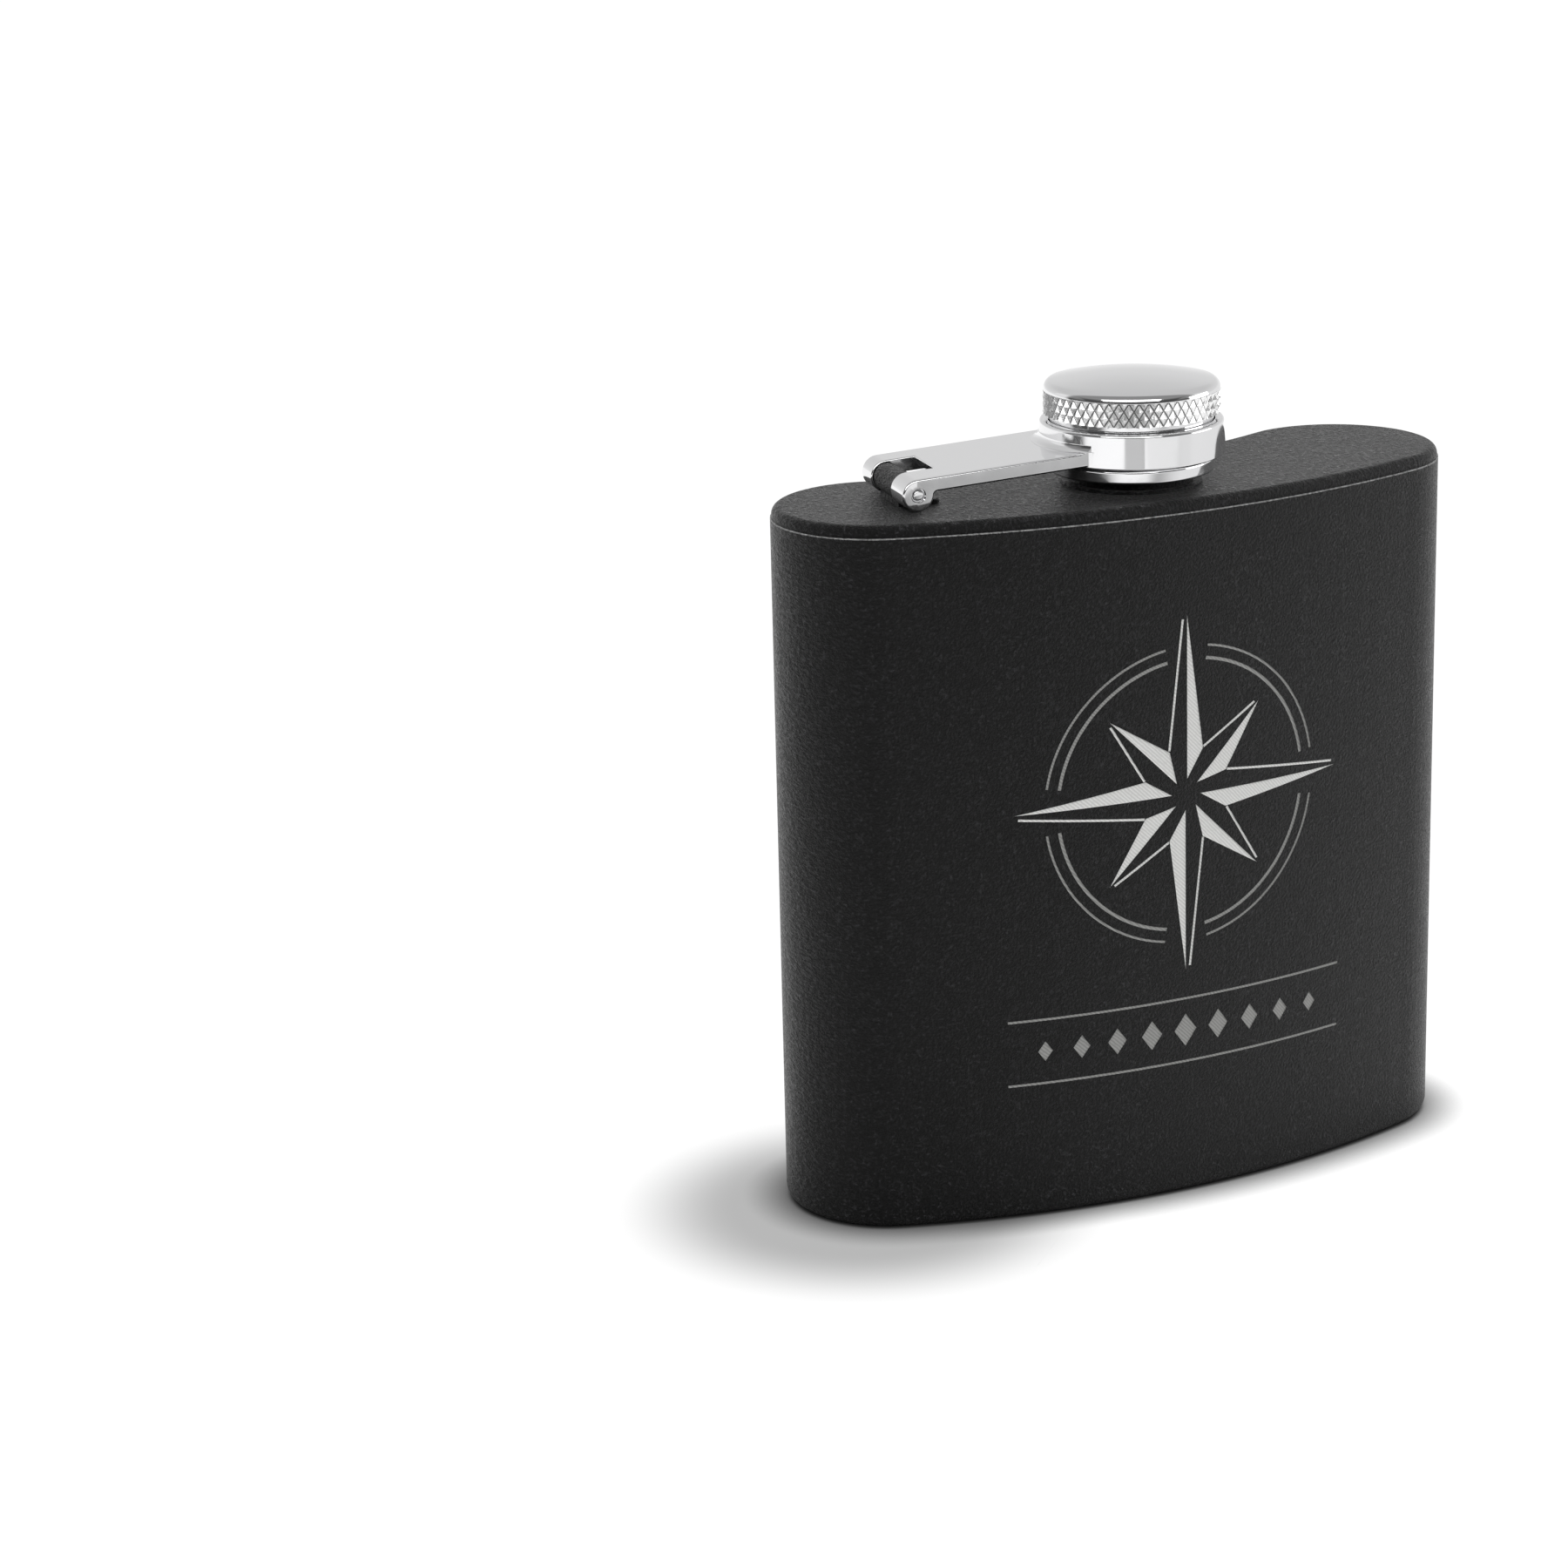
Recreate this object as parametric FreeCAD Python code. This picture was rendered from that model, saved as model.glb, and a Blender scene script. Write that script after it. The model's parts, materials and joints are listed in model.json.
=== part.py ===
"""Pocket flask of kidney section with a captive screw cap on a hinged arm.

Millimetres, +Z up. The origin is the middle of the footprint, on the standing face.
The convex front looks toward -Y, the concave back toward +Y, the hinge is at -X.
"""
import FreeCAD, Part
import math
import os

from FreeCAD import Vector

os.makedirs("parts", exist_ok=True)

# ---- body: a rolled wall closed by two pressed plates ----
WIDTH = 92.0                # overall, along X
MID_DEPTH = 25.0            # front to back at mid width
FRONT_RADIUS = 114.0        # convex front, seen from above
END_RADIUS = 13.2           # the two narrow ends
BODY_HEIGHT = 90.3          # standing face to shoulder face
SHEET = 0.6                 # thickness of the rolled wall
PLATE = 0.8                 # thickness of the pressed plates
SHOULDER_RIM = 1.5          # height of the shoulder plate's turned rim
SHOULDER_ROUND = 1.1        # rounding of the shoulder's edge
SHOULDER_INSET = 0.15       # the rim stands this far inside the wall's outer face
BASE_RIM = 2.4              # height of the base plate's turned rim
BASE_ROUND = 1.6            # rounding of the base's edge
BASE_DISH = 0.7             # how far the base's middle is pressed up
BASE_DISH_SLOPE = 0.63      # chamfer round the pressed dish
BASE_LAND = 5.0             # width of the standing band round the dish
LEAST_BEND = 0.2            # tightest inner bend of the pressed plates

# ---- spout ----
NECK_BORE = 6.6             # radius of the pouring bore
NECK_WALL = 0.5             # at the spout's foot
THREAD_WALL = 1.8           # bore to the outside of the thread
THREAD_FOOT = 1.9           # lower end of the thicker, threaded part above the shoulder
THREAD_LEAD = 0.4           # chamfer at that lower end
NECK_HEIGHT = 8.6           # rim above the shoulder
NECK_FLANGE = 0.7           # foot rolled out under the shoulder
NECK_FLANGE_THICK = 0.9
NECK_ROOM = 2.55            # from the rolled foot to the shoulder's rim at the back
NECK_RIM_ROUND = 0.45
COLLAR_WALL = 0.6           # coated collar round the spout's foot
COLLAR_BEAD = 1.1           # the collar's foot stands out this much
COLLAR_BEAD_HEIGHT = 0.35
COLLAR_ROUND = 0.3

# ---- cap: knurled head, threaded sleeve with a rolled lip, gasket ----
SWING_CLEARANCE = 0.9       # lets the sleeve pass the spout as the arm swings
SLEEVE_WALL = 0.9
SLEEVE_FOOT = 1.6           # sleeve's lower edge above the shoulder
LIP_OVERHANG = 0.15         # how far the lip stands out past the sleeve
LIP_ROUND = 0.5             # rounding of the lip's upper edge
LIP_FOOT_ROUND = 0.45       # rounding of its lower edge
HEAD_WALL = 0.8             # knurled band outside the sleeve
HEAD_HEIGHT = 3.05          # knurled band
HEAD_DOME = 2.15            # rise of the domed top
HEAD_ROUND = 1.15           # rounding between the band and the dome
HEAD_EDGE = 0.3
HEAD_GAP = 0.7              # open groove between ring and head
SLEEVE_SEAT = 2.0           # how far the sleeve is pressed up into the head
GASKET_THICK = 1.0
GASKET_WIDTH = 2.4
GASKET_CLEARANCE = 0.15     # gasket inside the sleeve
SEAL_GAP = 0.1              # the cap is a touch short of fully tight

# ---- swivel ring and arm ----
RING_FOOT = 3.7             # ring's lower face above the shoulder
RING_HEIGHT = 4.3
RING_WALL = 1.15            # at the ring's top
RING_LEDGE = 0.4            # inner ledge at the ring's foot, held above the lip
RING_LEDGE_HEIGHT = 1.0
RING_DRAFT = 0.2            # the ring is this much wider at its foot
RING_RUNNING = 0.1          # radial clearance of ring on sleeve
LIP_RUNNING = 0.25          # end clearance between ring and lip
RING_ROUND = 0.4            # outer edge at the top
RING_FOOT_CHAMFER = 0.13
RING_MOUTH_CHAMFER = 0.2    # inner edge at the top
ARM_WIDTH = 15.8
ARM_THICK = 1.8
ARM_RISE = 3.64             # degrees, up toward the ring
ARM_EDGE = 0.3              # rounding of the arm's top edges
BEAD = 1.0                  # hollow fillet where the arm meets the ring
FLARE = 1.1                 # hollow fillets at the arm's two sides

# ---- hinge: it stands midway across the shoulder, so the arm is turned toward the back ----
PIN_X = -30.4
PIN_RADIUS = 0.62
PIN_RUNNING = 0.05          # radial clearance of the ears on the pin
PIN_END_TAPER = 0.15        # rounded ends of the pin
EAR_SINK = 0.28             # countersink of the ears' holes
KNUCKLE_RADIUS = 2.0        # outside of the ears, flush with the arm's top
KNUCKLE_CLEARANCE = 0.32    # the ears turn this far above the shoulder
HOLLOW = 0.5                # hollow corner between an ear and the arm's underside
BARREL_RADIUS = 1.75        # coated barrel between the ears
BARREL_WIDTH = 6.8
SLOT_CLEARANCE = 0.3        # each side of the barrel
SLOT_OFFSET = 0.5           # barrel and slot stand this far behind the arm's middle
SLOT_REACH = 3.75           # from pin axis to the slot's square end
SLOT_EDGE = 0.2             # rounding of the slot's upper edges
WEB_BACK = 0.9              # web under the barrel, reach beyond the pin axis
FOOT_THICK = 0.5
FOOT_LENGTH = 5.6           # along the arm, most of it under the arm
FOOT_CORNER = 1.2
FOOT_CHAMFER = 0.2

NEAR = 1e-4                 # tolerance when an edge is found by its place
PAST = 1.0                  # how far a cutting tool reaches past what it cuts

Z = Vector(0, 0, 1)
Y = Vector(0, 1, 0)


def kidney_data(inset):
    """Centres and radii of the four arcs; inset moves the outline inwards."""
    end_x = WIDTH / 2 - END_RADIUS
    end_y = FRONT_RADIUS - math.sqrt((FRONT_RADIUS - END_RADIUS) ** 2 - end_x ** 2)
    rise = MID_DEPTH - end_y
    back_radius = (end_x ** 2 + rise ** 2 - END_RADIUS ** 2) / (2 * (END_RADIUS - rise))
    front_angle = math.asin(end_x / (FRONT_RADIUS - END_RADIUS))
    back_angle = math.asin(end_x / (back_radius + END_RADIUS))
    return {
        "end": (end_x, end_y),
        "end_radius": END_RADIUS - inset,
        "front": (FRONT_RADIUS, FRONT_RADIUS - inset, front_angle),
        "back": (MID_DEPTH + back_radius, back_radius + inset, back_angle),
    }


def overall_depth():
    end_y = kidney_data(0)["end"][1]
    return end_y + END_RADIUS


FRONT_Y = -overall_depth() / 2           # the front's foremost line
TOP = BODY_HEIGHT
PIN_HEIGHT = KNUCKLE_RADIUS + KNUCKLE_CLEARANCE
PIN_Z = TOP + PIN_HEIGHT
RIM_INSET = SHOULDER_INSET + PLATE       # inner face of the shoulder's rim
NECK_RADIUS = NECK_BORE + NECK_WALL
NECK_Y = FRONT_Y + MID_DEPTH - RIM_INSET - NECK_ROOM - NECK_FLANGE - NECK_RADIUS
THREAD_RADIUS = NECK_BORE + THREAD_WALL
SLEEVE_BORE = THREAD_RADIUS + SWING_CLEARANCE
SLEEVE_RADIUS = SLEEVE_BORE + SLEEVE_WALL
HEAD_RADIUS = SLEEVE_RADIUS + HEAD_WALL
RING_BORE = SLEEVE_RADIUS + RING_RUNNING
RING_TOP_RADIUS = RING_BORE + RING_WALL
RING_TOP = TOP + RING_FOOT + RING_HEIGHT
HEAD_FOOT = RING_TOP + HEAD_GAP
HEAD_TOP = HEAD_FOOT + HEAD_HEIGHT
GASKET_FOOT = TOP + NECK_HEIGHT + SEAL_GAP
GASKET_TOP = GASKET_FOOT + GASKET_THICK


def kidney_wire(inset, z):
    """The body's outline, offset inwards by inset, at height z."""
    data = kidney_data(inset)
    end_x, end_y = data["end"]
    end_radius = data["end_radius"]
    front_centre, front_radius, front_angle = data["front"]
    back_centre, back_radius, back_angle = data["back"]

    def point(x, y):
        return Vector(x, y + FRONT_Y, z)

    def front(angle):
        return point(front_radius * math.sin(angle), front_centre - front_radius * math.cos(angle))

    def back(angle):
        return point(back_radius * math.sin(angle), back_centre - back_radius * math.cos(angle))

    def end(side):
        return point(side * (end_x + end_radius), end_y)

    arcs = [
        Part.Arc(front(-front_angle), front(0), front(front_angle)),
        Part.Arc(front(front_angle), end(1), back(back_angle)),
        Part.Arc(back(back_angle), back(0), back(-back_angle)),
        Part.Arc(back(-back_angle), end(-1), front(-front_angle)),
    ]
    return Part.Wire([arc.toShape() for arc in arcs])


def kidney_block(inset, low, high):
    return Part.Face(kidney_wire(inset, low)).extrude(Vector(0, 0, high - low))


def breadth_middle(x):
    """Y of the middle of the body's breadth at x."""
    across = Part.LineSegment(Vector(x, -WIDTH, 0), Vector(x, WIDTH, 0)).toShape()
    return Part.Face(kidney_wire(0, 0)).common(across).BoundBox.Center.y


PIN_Y = breadth_middle(PIN_X)
ARM_REACH = math.hypot(PIN_X, PIN_Y - NECK_Y)            # spout's axis to pin axis
ARM_TURN = math.degrees(math.atan2(PIN_Y - NECK_Y, -PIN_X))


def turned(shape):
    """Turns a hinge part, drawn with the arm along -X, to the hinge's real place."""
    shape.rotate(Vector(0, NECK_Y, 0), Z, -ARM_TURN)
    return shape


def edges_at(shape, z):
    """The edges that lie in the level plane z."""
    boxes = [(edge, edge.BoundBox) for edge in shape.Edges]
    return [edge for edge, box in boxes if abs(box.ZMin - z) < NEAR and abs(box.ZMax - z) < NEAR]


def circles_at(shape, z, radius):
    """The round edges of one radius in the level plane z."""
    return [edge for edge in edges_at(shape, z) if abs(edge.Curve.Radius - radius) < NEAR]


def revolve(points):
    """A solid of revolution about the spout's axis, from (radius, z) points."""
    corners = [Vector(radius, NECK_Y, z) for radius, z in points]
    face = Part.Face(Part.makePolygon(corners + corners[:1]))
    return face.revolve(Vector(0, NECK_Y, 0), Z, 360)


def cylinder(radius, low, high):
    """A cylinder on the spout's axis."""
    return Part.makeCylinder(radius, high - low, Vector(0, NECK_Y, low), Z)


def cross_cylinder(radius, half_width, offset=0.0):
    """A cylinder along Y about the hinge pin's axis, before the hinge is turned."""
    start = Vector(-ARM_REACH, NECK_Y + offset - half_width, PIN_Z)
    return Part.makeCylinder(radius, 2 * half_width, start, Y)


def body_wall():
    low = BASE_RIM
    high = TOP - SHOULDER_RIM
    wall = kidney_block(0, low, high)
    return wall.cut(kidney_block(SHEET, low - PAST, high + PAST))


def pressed_plate(inset, face_z, rim, rounding, thickness, sign):
    """A shallow pan: flat face at face_z, rim turned back by rim, outer edge rounded."""
    open_z = face_z - sign * rim
    inner_face = face_z - sign * thickness
    outer = kidney_block(inset, min(face_z, open_z), max(face_z, open_z))
    outer = outer.makeFillet(rounding, edges_at(outer, face_z))
    beyond = open_z - sign * PAST
    inner = kidney_block(inset + thickness, min(inner_face, beyond), max(inner_face, beyond))
    inner = inner.makeFillet(max(rounding - thickness, LEAST_BEND), edges_at(inner, inner_face))
    return outer.cut(inner)


def shoulder_plate():
    plate = pressed_plate(SHOULDER_INSET, TOP, SHOULDER_RIM, SHOULDER_ROUND, PLATE, 1)
    return plate.cut(cylinder(NECK_RADIUS, TOP - PLATE - PAST, TOP + PAST))


def base_plate():
    plate = pressed_plate(0, 0.0, BASE_RIM, BASE_ROUND, PLATE, -1)
    dish = kidney_block(BASE_ROUND + BASE_LAND, 0.0, BASE_DISH)
    dish = dish.makeChamfer(BASE_DISH_SLOPE, edges_at(dish, BASE_DISH))
    raised = kidney_block(BASE_ROUND + BASE_LAND - PLATE, PLATE, PLATE + BASE_DISH)
    return plate.fuse(raised).cut(dish).removeSplitter()


def neck_tube():
    """Spout: its narrow foot is rolled out under the shoulder plate, its top is threaded."""
    under = TOP - PLATE
    rim = TOP + NECK_HEIGHT
    thread_foot = TOP + THREAD_FOOT
    tube = revolve([
        (NECK_BORE, under - NECK_FLANGE_THICK),
        (NECK_RADIUS + NECK_FLANGE, under - NECK_FLANGE_THICK),
        (NECK_RADIUS + NECK_FLANGE, under),
        (NECK_RADIUS, under),
        (NECK_RADIUS, thread_foot),
        (THREAD_RADIUS - THREAD_LEAD, thread_foot),
        (THREAD_RADIUS, thread_foot + THREAD_LEAD),
        (THREAD_RADIUS, rim),
        (NECK_BORE, rim),
    ])
    return tube.makeFillet(NECK_RIM_ROUND, edges_at(tube, rim))


def neck_collar():
    """Coated collar round the spout's foot, with a low bead where it meets the shoulder."""
    outer = NECK_RADIUS + COLLAR_WALL
    bead = outer + COLLAR_BEAD
    bead_top = TOP + COLLAR_BEAD_HEIGHT
    top = TOP + THREAD_FOOT
    collar = revolve([
        (NECK_RADIUS, TOP),
        (bead, TOP),
        (bead, bead_top),
        (outer, bead_top),
        (outer, top),
        (NECK_RADIUS, top),
    ])
    return collar.makeFillet(COLLAR_ROUND, circles_at(collar, bead_top, bead))


def hinge_lug():
    """Coated barrel on a web, with a foot under the arm that is welded to the shoulder."""
    half = BARREL_WIDTH / 2
    middle = NECK_Y + SLOT_OFFSET
    back = -ARM_REACH - WEB_BACK
    web_length = WEB_BACK + BARREL_RADIUS
    web = Part.makeBox(web_length, BARREL_WIDTH, PIN_HEIGHT, Vector(back, middle - half, TOP))
    foot = Part.makeBox(FOOT_LENGTH, BARREL_WIDTH, FOOT_THICK, Vector(back, middle - half, TOP))
    far = back + FOOT_LENGTH
    upright = [e for e in foot.Edges if e.BoundBox.ZLength > NEAR and e.BoundBox.XMin > far - NEAR]
    foot = foot.makeFillet(FOOT_CORNER, upright)
    foot = foot.makeChamfer(FOOT_CHAMFER, edges_at(foot, TOP + FOOT_THICK))
    lug = web.fuse([foot, cross_cylinder(BARREL_RADIUS, half, SLOT_OFFSET)]).removeSplitter()
    return turned(lug.cut(cross_cylinder(PIN_RADIUS, ARM_WIDTH)))


def hinge_pin():
    pin = cross_cylinder(PIN_RADIUS, ARM_WIDTH / 2)
    return turned(pin.makeChamfer(PIN_END_TAPER, [e for e in pin.Edges if e.BoundBox.YLength < NEAR]))


def ring_blank():
    """The swivel ring without its bore, also used to fit the arm to it."""
    foot = TOP + RING_FOOT
    blank = revolve([
        (0, foot),
        (RING_TOP_RADIUS + RING_DRAFT, foot),
        (RING_TOP_RADIUS, RING_TOP),
        (0, RING_TOP),
    ])
    blank = blank.makeFillet(RING_ROUND, edges_at(blank, RING_TOP))
    return blank.makeChamfer(RING_FOOT_CHAMFER, edges_at(blank, foot))


def swivel_ring():
    ledge_top = TOP + RING_FOOT + RING_LEDGE_HEIGHT
    ring = ring_blank().cut(cylinder(RING_BORE, ledge_top, RING_TOP + PAST))
    ring = ring.cut(cylinder(RING_BORE - RING_LEDGE, TOP, RING_TOP))
    return ring.makeChamfer(RING_MOUTH_CHAMFER, circles_at(ring, RING_TOP, RING_BORE))


def arm_profile(half_width):
    """Arm as seen from the front, drawn out to half_width each way along Y.

    The strap's top is tangent to the round knuckle; a small hollow joins its underside.
    """
    under = KNUCKLE_RADIUS - ARM_THICK
    hollow_x = math.sqrt((KNUCKLE_RADIUS + HOLLOW) ** 2 - (under - HOLLOW) ** 2)
    share = KNUCKLE_RADIUS / (KNUCKLE_RADIUS + HOLLOW)

    def point(x, z):
        return Vector(x - ARM_REACH, NECK_Y - half_width, PIN_Z + z)

    top = point(0, KNUCKLE_RADIUS)
    leave = point(hollow_x * share, (under - HOLLOW) * share)
    to_knuckle = math.pi + math.atan2(under - HOLLOW, hollow_x)
    hollow_angle = (math.pi / 2 + to_knuckle) / 2
    hollow_mid = point(hollow_x + HOLLOW * math.cos(hollow_angle),
                       under - HOLLOW + HOLLOW * math.sin(hollow_angle))
    edges = [
        Part.Arc(top, point(-KNUCKLE_RADIUS, 0), leave).toShape(),
        Part.Arc(leave, hollow_mid, point(hollow_x, under)).toShape(),
        Part.LineSegment(point(hollow_x, under), point(ARM_REACH, under)).toShape(),
        Part.LineSegment(point(ARM_REACH, under), point(ARM_REACH, KNUCKLE_RADIUS)).toShape(),
        Part.LineSegment(point(ARM_REACH, KNUCKLE_RADIUS), top).toShape(),
    ]
    return Part.Face(Part.Wire(edges)).extrude(Vector(0, 2 * half_width, 0))


def side_edges(shape, half_width):
    """Outline edges on the arm's two flat sides, without the upright ones at its end."""
    found = []
    for edge in shape.Edges:
        box = edge.BoundBox
        flat = box.YLength < NEAR and abs(abs(box.YMin - NECK_Y) - half_width) < NEAR
        if flat and box.XMin < -PAST:
            found.append(edge)
    return found


def arm_flares():
    """Hollow corners, seen from above, between the arm's sides and the ring."""
    half = ARM_WIDTH / 2
    ring = RING_TOP_RADIUS + RING_DRAFT / 2
    flare_x = -math.sqrt((ring + FLARE) ** 2 - (half + FLARE) ** 2)
    low = TOP - PAST
    flares = []
    for side in (-1, 1):
        centre = Vector(flare_x, NECK_Y + side * (half + FLARE), low)
        start = Vector(flare_x, NECK_Y + side * half, low)
        toward_axis = (Vector(0, NECK_Y, low) - centre).normalize()
        end = centre + toward_axis * FLARE
        between = ((start - centre) + (end - centre)).normalize()
        inner = Vector(0, NECK_Y + side * half / 2, low)
        edges = [
            Part.Arc(start, centre + between * FLARE, end).toShape(),
            Part.LineSegment(end, inner).toShape(),
            Part.LineSegment(inner, Vector(flare_x, inner.y, low)).toShape(),
            Part.LineSegment(Vector(flare_x, inner.y, low), start).toShape(),
        ]
        flares.append(Part.Face(Part.Wire(edges)).extrude(Vector(0, 0, RING_TOP + PAST - low)))
    return flares


def arm_bead():
    """Hollow fillet that carries the arm's top face up the side of the ring."""
    middle = -(ARM_REACH + RING_TOP_RADIUS) / 2
    lift = math.tan(math.radians(ARM_RISE))
    level = PIN_Z + KNUCKLE_RADIUS + (ARM_REACH - RING_TOP_RADIUS) * lift
    inner = RING_TOP_RADIUS - PAST
    outer = RING_TOP_RADIUS + RING_DRAFT / 2 + BEAD
    bend = BEAD * (1 - math.sqrt(0.5))
    inner_top = Vector(inner, NECK_Y, level + BEAD)
    bead_top = Vector(outer - BEAD, NECK_Y, level + BEAD)
    bead_mid = Vector(outer - BEAD + bend, NECK_Y, level + bend)
    bead_end = Vector(outer, NECK_Y, level)
    skirt = Vector(outer, NECK_Y, level - ARM_THICK / 2)
    inner_low = Vector(inner, NECK_Y, level - ARM_THICK / 2)
    edges = [
        Part.LineSegment(inner_top, bead_top).toShape(),
        Part.Arc(bead_top, bead_mid, bead_end).toShape(),
        Part.LineSegment(bead_end, skirt).toShape(),
        Part.LineSegment(skirt, inner_low).toShape(),
        Part.LineSegment(inner_low, inner_top).toShape(),
    ]
    bead = Part.Face(Part.Wire(edges)).revolve(Vector(0, NECK_Y, 0), Z, 360)
    keep = Part.makeBox(-middle, ARM_WIDTH, 3 * BEAD + ARM_THICK,
                        Vector(middle, NECK_Y - ARM_WIDTH / 2, level - ARM_THICK))
    return bead.common(keep)


def slotted(strap):
    """Cuts the slot for the barrel and rounds its upper edges."""
    slot_half = BARREL_WIDTH / 2 + SLOT_CLEARANCE
    middle = NECK_Y + SLOT_OFFSET
    end = SLOT_REACH - ARM_REACH
    corner = Vector(-2 * ARM_REACH, middle - slot_half, PIN_Z - 3 * KNUCKLE_RADIUS)
    slot = Part.makeBox(end + 2 * ARM_REACH, 2 * slot_half, 6 * KNUCKLE_RADIUS, corner)
    strap = strap.cut(slot)
    rounded = []
    for edge in edges_at(strap, PIN_Z + KNUCKLE_RADIUS):
        box = edge.BoundBox
        if abs((box.YMin + box.YMax) / 2 - middle) < slot_half + NEAR and box.XMax < end + NEAR:
            rounded.append(edge)
    return strap.makeFillet(SLOT_EDGE, rounded)


def pin_hole():
    """The hole through both ears, countersunk at its outer ends."""
    radius = PIN_RADIUS + PIN_RUNNING
    half = ARM_WIDTH / 2
    hole = cross_cylinder(radius, ARM_WIDTH)
    for side in (-1, 1):
        face = Vector(-ARM_REACH, NECK_Y + side * half, PIN_Z)
        sink = Part.makeCone(radius + EAR_SINK, radius, EAR_SINK, face, Y * -side)
        hole = hole.fuse(sink)
    return hole


def cap_arm():
    half = ARM_WIDTH / 2
    strap = arm_profile(half)
    strap = slotted(strap.makeFillet(ARM_EDGE, side_edges(strap, half)))
    wide = arm_profile(ARM_WIDTH)
    for solid in (strap, wide):
        solid.rotate(Vector(-ARM_REACH, NECK_Y, PIN_Z), Y, -ARM_RISE)
    arm = strap.fuse([flare.common(wide) for flare in arm_flares()] + [arm_bead()])
    return turned(arm.cut(pin_hole()).cut(ring_blank()).removeSplitter())


def cap_head():
    """Domed, knurled head with a seat for the sleeve and a boss over the gasket."""
    flat = HEAD_RADIUS - HEAD_ROUND
    crown = HEAD_TOP + HEAD_DOME
    dome_radius = (flat ** 2 + HEAD_DOME ** 2 - HEAD_ROUND ** 2) / (2 * (HEAD_DOME - HEAD_ROUND))
    dome_z = crown - dome_radius
    meet = math.atan2(HEAD_TOP - dome_z, flat)

    def point(radius, z):
        return Vector(radius, NECK_Y, z)

    def on_dome(angle):
        return point(dome_radius * math.cos(angle), dome_z + dome_radius * math.sin(angle))

    def on_round(angle):
        return point(flat + HEAD_ROUND * math.cos(angle), HEAD_TOP + HEAD_ROUND * math.sin(angle))

    corners = [
        point(HEAD_RADIUS, HEAD_TOP),
        point(HEAD_RADIUS, HEAD_FOOT + HEAD_EDGE),
        point(HEAD_RADIUS - HEAD_EDGE, HEAD_FOOT),
        point(SLEEVE_RADIUS, HEAD_FOOT),
        point(SLEEVE_RADIUS, HEAD_FOOT + SLEEVE_SEAT),
        point(SLEEVE_BORE, HEAD_FOOT + SLEEVE_SEAT),
        point(SLEEVE_BORE, GASKET_TOP),
        point(0, GASKET_TOP),
        point(0, crown),
    ]
    edges = [Part.LineSegment(a, b).toShape() for a, b in zip(corners, corners[1:])]
    edges.append(Part.Arc(point(0, crown), on_dome((meet + math.pi / 2) / 2), on_dome(meet)).toShape())
    edges.append(Part.Arc(on_dome(meet), on_round(meet / 2), corners[0]).toShape())
    return Part.Face(Part.Wire(edges)).revolve(Vector(0, NECK_Y, 0), Z, 360)


def cap_sleeve():
    """Threaded sleeve with a groove that takes the ring's ledge and a rolled lip below it."""
    foot = TOP + SLEEVE_FOOT
    lip_top = TOP + RING_FOOT - LIP_RUNNING
    lip = SLEEVE_RADIUS + LIP_OVERHANG
    groove = SLEEVE_RADIUS - RING_LEDGE
    groove_top = TOP + RING_FOOT + RING_LEDGE_HEIGHT + LIP_RUNNING
    sleeve = revolve([
        (SLEEVE_BORE, foot),
        (lip, foot),
        (lip, lip_top),
        (groove, lip_top),
        (groove, groove_top),
        (SLEEVE_RADIUS, groove_top),
        (SLEEVE_RADIUS, HEAD_FOOT + SLEEVE_SEAT),
        (SLEEVE_BORE, HEAD_FOOT + SLEEVE_SEAT),
    ])
    sleeve = sleeve.makeFillet(LIP_ROUND, circles_at(sleeve, lip_top, lip))
    return sleeve.makeFillet(LIP_FOOT_ROUND, circles_at(sleeve, foot, lip))


def cap_gasket():
    outer = SLEEVE_BORE - GASKET_CLEARANCE
    inner = outer - GASKET_WIDTH
    points = [(inner, GASKET_FOOT), (outer, GASKET_FOOT), (outer, GASKET_TOP), (inner, GASKET_TOP)]
    return revolve(points)


PARTS = [
    body_wall,
    shoulder_plate,
    base_plate,
    neck_tube,
    neck_collar,
    hinge_lug,
    hinge_pin,
    cap_arm,
    swivel_ring,
    cap_head,
    cap_sleeve,
    cap_gasket,
]

for make in PARTS:
    shape = make()
    shape.exportStep("parts/" + make.__name__ + ".step")
    box = shape.BoundBox
    print(make.__name__, "solids", len(shape.Solids), "valid", shape.isValid(),
          "volume", round(shape.Volume, 1),
          "box", [round(v, 2) for v in (box.XMin, box.YMin, box.ZMin, box.XMax, box.YMax, box.ZMax)])

inside = kidney_block(SHEET, PLATE, TOP - PLATE)
print("inner volume, ml", round(inside.Volume / 1000, 1), "depth", round(overall_depth(), 2),
      "neck y", round(NECK_Y, 3), "pin", round(PIN_Y, 3), round(PIN_Z, 3), "turn", round(ARM_TURN, 3),
      "reach", round(ARM_REACH, 3))
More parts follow.
